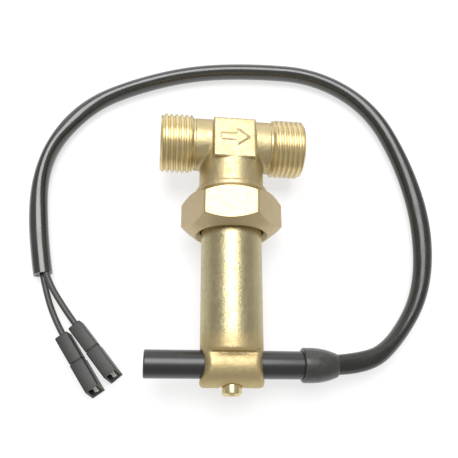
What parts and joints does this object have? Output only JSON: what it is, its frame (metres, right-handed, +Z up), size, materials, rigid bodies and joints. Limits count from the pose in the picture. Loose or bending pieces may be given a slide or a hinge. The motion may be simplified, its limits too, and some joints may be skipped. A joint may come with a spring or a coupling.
{
  "type": "flow switch",
  "caption": "Brass tee with male pipe threads, union nut and closed tube with a magnetic shutter inside; a black reed sensor rod is clamped across its end, with cable and push-on connectors.",
  "frame": {"origin": "middle of the union nut flat that the switch lies on", "axes": "+Z up from the bench; +Y along the nut and tube axis, from the sensor end to the tee; +X towards the outlet, seen from above"},
  "size_m": [0.1498, 0.1312, 0.0307],
  "materials": {
    "tee_brass": "forged brass, satin, blasted, with machined threads",
    "nut_brass": "turned brass, satin",
    "tube_brass": "forged brass, satin and grainy",
    "screw_brass": "machined brass, bright",
    "seal_rubber": "black elastomer, dull",
    "guide_plastic": "natural acetal, dull",
    "steel": "stainless steel, plain",
    "magnet_dark": "dark ferrite, dull",
    "black_plastic": "black nylon, satin",
    "resin": "dark casting resin",
    "glass": "clear glass",
    "reed_metal": "nickel-iron, bright",
    "boot_rubber": "black rubber, dull",
    "sleeve_black": "black soft plastic sleeve, glossy",
    "wire_black": "black wire insulation, satin",
    "connector_black": "black nylon, satin",
    "terminal_metal": "tinned brass sheet, bright"
  },
  "bodies": {
    "tee": {"tee_body": "tee_brass", "valve_seat": "tee_brass"},
    "housing": {"lower_housing": "tube_brass", "union_gasket": "seal_rubber", "guide_bush": "guide_plastic", "guide_ring": "steel", "return_spring": "steel"},
    "nut": {"union_nut": "nut_brass"},
    "shutter": {"shutter_disc": "tube_brass", "shutter_seal": "seal_rubber", "shutter_stem": "steel", "magnet_carrier": "guide_plastic", "magnet": "magnet_dark", "magnet_cap": "guide_plastic"},
    "screw": {"clamp_screw": "screw_brass"},
    "sensor": {"sensor_housing": "black_plastic", "sensor_plug": "resin", "reed_glass": "glass", "reed_lead_fixed": "reed_metal", "reed_lead_out": "reed_metal", "sensor_boot": "boot_rubber", "cable_sleeve": "sleeve_black", "wire_a": "wire_black", "wire_b": "wire_black", "connector_a": "connector_black", "connector_b": "connector_black", "terminal_a": "terminal_metal", "terminal_b": "terminal_metal"},
    "reed": {"reed_blade": "reed_metal"}
  },
  "joints": [
    {"name": "union_draw", "type": "slide", "parent": "tee", "child": "housing", "axis": [0, -1, 0], "range_m": [0, 0.00726]},
    {"name": "nut_turn", "type": "hinge", "parent": "housing", "child": "nut", "pos_m": [0, 0, 0.01535], "axis": [0, -1, 0], "range_deg": [0, 1440]},
    {"name": "shutter_lift", "type": "slide", "parent": "housing", "child": "shutter", "axis": [0, -1, 0], "range_m": [0, 0.008], "stiffness_N_per_m": 60, "springref_m": -0.008, "deforming": ["return_spring"]},
    {"name": "screw_turn", "type": "hinge", "parent": "housing", "child": "screw", "pos_m": [0, -0.0588, 0.01535], "axis": [0, -1, 0], "range_deg": [-90, 720]},
    {"name": "sensor_slide", "type": "slide", "parent": "housing", "child": "sensor", "axis": [0.9925, 0, -0.1219], "range_m": [-0.006, 0.006]},
    {"name": "reed_close", "type": "hinge", "parent": "sensor", "child": "reed", "pos_m": [0.00639, -0.05065, 0.01487], "axis": [0, -1, 0], "range_deg": [0, 2.4]}
  ],
  "couplings": [
    {"joint": "nut_turn", "follows": "union_draw", "rad_per_m": 3463.7},
    {"joint": "reed_close", "follows": "shutter_lift", "rad_per_m": 5.1}
  ]
}
